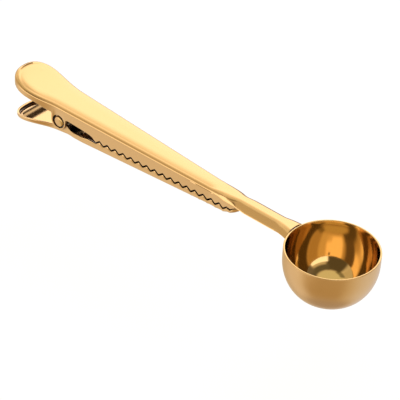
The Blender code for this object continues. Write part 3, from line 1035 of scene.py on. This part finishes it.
# Studio surround seen in the metal: (azimuth, half width, softness), (elevation, half height, softness)
# and colour. Degrees; azimuth turns from +X towards +Y. Each row lies over the rows before it.
SURROUND = (0.72, 0.66, 0.50)
PANELS = (
    ("ceiling", (0.0, 181.0, 1.0), (84.0, 16.0, 4.0), (0.78, 0.78, 0.58)),
    ("left wall", (180.0, 24.0, 10.0), (40.0, 24.0, 8.0), (1.00, 0.98, 0.80)),
    ("left wall front", (-142.0, 24.0, 8.0), (38.0, 20.0, 6.0), (0.66, 0.60, 0.43)),
    ("dark ceiling front left", (-122.0, 30.0, 8.0), (64.5, 6.0, 3.0), (0.30, 0.28, 0.18)),
    ("softbox glow behind", (117.0, 42.0, 10.0), (50.0, 12.0, 6.0), (1.15, 1.12, 0.95)),
    ("large softbox behind", (106.0, 27.0, 8.0), (31.0, 25.0, 5.0), (1.72, 1.72, 1.72)),
    ("softbox behind left", (139.0, 18.0, 8.0), (25.0, 18.5, 6.0), (1.72, 1.72, 1.72)),
    ("dark gap behind", (139.9, 4.2, 1.0), (18.8, 5.3, 0.6), (0.05, 0.04, 0.03)),
    ("bright strip in the gap", (139.9, 4.2, 1.0), (17.2, 1.2, 0.6), (0.95, 0.90, 0.80)),
    ("table edge behind", (120.0, 35.0, 10.0), (-12.0, 16.0, 4.0), (0.40, 0.36, 0.32)),
    ("low light front left", (-112.0, 26.0, 6.0), (-8.0, 14.0, 3.0), (1.65, 1.65, 1.60)),
    ("dark room", (-73.0, 35.0, 7.0), (42.5, 22.5, 5.0), (0.12, 0.10, 0.06)),
    ("dark ceiling right", (8.0, 56.0, 8.0), (55.0, 10.0, 4.0), (0.15, 0.14, 0.10)),
    ("dark gap right", (38.0, 25.0, 8.0), (25.0, 27.0, 6.0), (0.20, 0.18, 0.15)),
    ("softbox right", (-16.0, 28.0, 4.0), (27.8, 9.8, 1.0), (1.62, 1.62, 1.62)),
    ("table left", (-145.0, 30.0, 12.0), (-45.0, 22.0, 8.0), (0.88, 0.87, 0.84)),
    ("table front", (-65.0, 50.0, 14.0), (-42.0, 24.0, 8.0), (0.54, 0.43, 0.25)),
    ("table right", (75.0, 60.0, 25.0), (-42.0, 22.0, 8.0), (0.82, 0.88, 0.98)),
    ("table below", (0.0, 181.0, 1.0), (-90.0, 22.0, 6.0), (0.50, 0.45, 0.40)),
)
BACKDROP = (1.0, 1.0, 1.0, 1.0)


def band(graph, value, half, soft):
    """1 where value lies within half of zero, falling smoothly to 0 over the softness."""
    size = graph.math("ABSOLUTE", value)
    return graph.remap(size, half - soft, half + soft, 1.0, 0.0)


def build_world():
    """Plain backdrop for the camera; softboxes, table and dark room for the reflections."""
    world = bpy.data.worlds.new("studio")
    bpy.context.scene.world = world
    world.use_nodes = True
    graph = Graph(world.node_tree)
    toward = graph.add("ShaderNodeTexCoord").outputs["Generated"]
    x, y, z = graph.add("ShaderNodeSeparateXYZ", (toward,)).outputs
    azimuth = graph.math("DEGREES", graph.math("ARCTAN2", y, x))
    elevation = graph.math("DEGREES", graph.math("ARCSINE", z))
    colour = (*SURROUND, 1.0)
    for name, (centre, half, soft), (height, half_height, soft_height), shade in PANELS:
        turn = graph.math("WRAP", graph.math("SUBTRACT", azimuth, centre), 180.0, -180.0)
        rise = graph.math("SUBTRACT", elevation, height)
        across = band(graph, turn, half, soft)
        inside = graph.math("MULTIPLY", across, band(graph, rise, half_height, soft_height))
        colour = graph.mixed(inside, colour, (*shade, 1.0), name)
    seen = graph.add("ShaderNodeLightPath").outputs["Is Camera Ray"]
    shown = graph.mixed(seen, colour, BACKDROP)
    graph.feed(world.node_tree.nodes["Background"].inputs["Color"], shown)


FLOOR_R = 3000.0
FLOOR_SIDES = 96
FLOOR_GLOW = 0.86
FLOOR_SHADE = 0.25
FLOOR_Z = -28.0


def build_floor():
    """Pale glowing table, clear of the opened jaw and see-through from below.

    The metal does not mirror it, since the surround already holds the table.
    """
    made = bmesh.new()
    place = Matrix.Translation((0.0, 0.0, FLOOR_Z))
    bmesh.ops.create_circle(made, cap_ends=True, radius=FLOOR_R, segments=FLOOR_SIDES, matrix=place)
    material = bpy.data.materials.new("floor")
    material.use_nodes = True
    shader = material.node_tree.nodes["Principled BSDF"]
    shader.inputs["Base Color"].default_value = (FLOOR_SHADE, FLOOR_SHADE, FLOOR_SHADE, 1.0)
    shader.inputs["Roughness"].default_value = 1.0
    shader.inputs["Specular IOR Level"].default_value = 0.0
    shader.inputs["Emission Color"].default_value = (1.0, 1.0, 1.0, 1.0)
    shader.inputs["Emission Strength"].default_value = FLOOR_GLOW
    graph = Graph(material.node_tree)
    facing = graph.add("ShaderNodeNewGeometry").outputs["Backfacing"]
    clear = graph.add("ShaderNodeBsdfTransparent").outputs[0]
    shown = graph.add("ShaderNodeMixShader", (facing, shader.outputs[0], clear))
    graph.feed(material.node_tree.nodes["Material Output"].inputs["Surface"], shown.outputs[0])
    floor = object_from("floor", made, material)
    floor.visible_glossy = False


def main():
    """Build every piece, then the studio."""
    gold = sheet_gold("polished_gold", TOP_ROUGHNESS)
    mirror = sheet_gold("mirror_gold", LOWER_ROUGHNESS)
    satin = bowl_gold("satin_gold", LINING_ROUGHNESS, SATIN_ROUGHNESS)
    steel = spring_wire("spring_steel", WIRE_ROUGHNESS)
    pieces = (
        (build_bowl(satin), "scoop_bowl", "handle", "satin_gold"),
        (build_upper_jaw(gold), "handle_upper_jaw", "handle", "polished_gold"),
        (build_lower_jaw(mirror), "lower_jaw", "lower_clip", "polished_gold"),
        (build_pin(satin), "hinge_pin", "lower_clip", "satin_gold"),
    )
    for piece, node, body, slot in pieces:
        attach(piece, body)
        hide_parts(node)
    spring = build_spring(steel)
    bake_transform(spring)
    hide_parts("torsion_spring")
    build_floor()
    build_world()
    build_camera()
    bpy.context.scene.view_settings.view_transform = "Standard"


main()
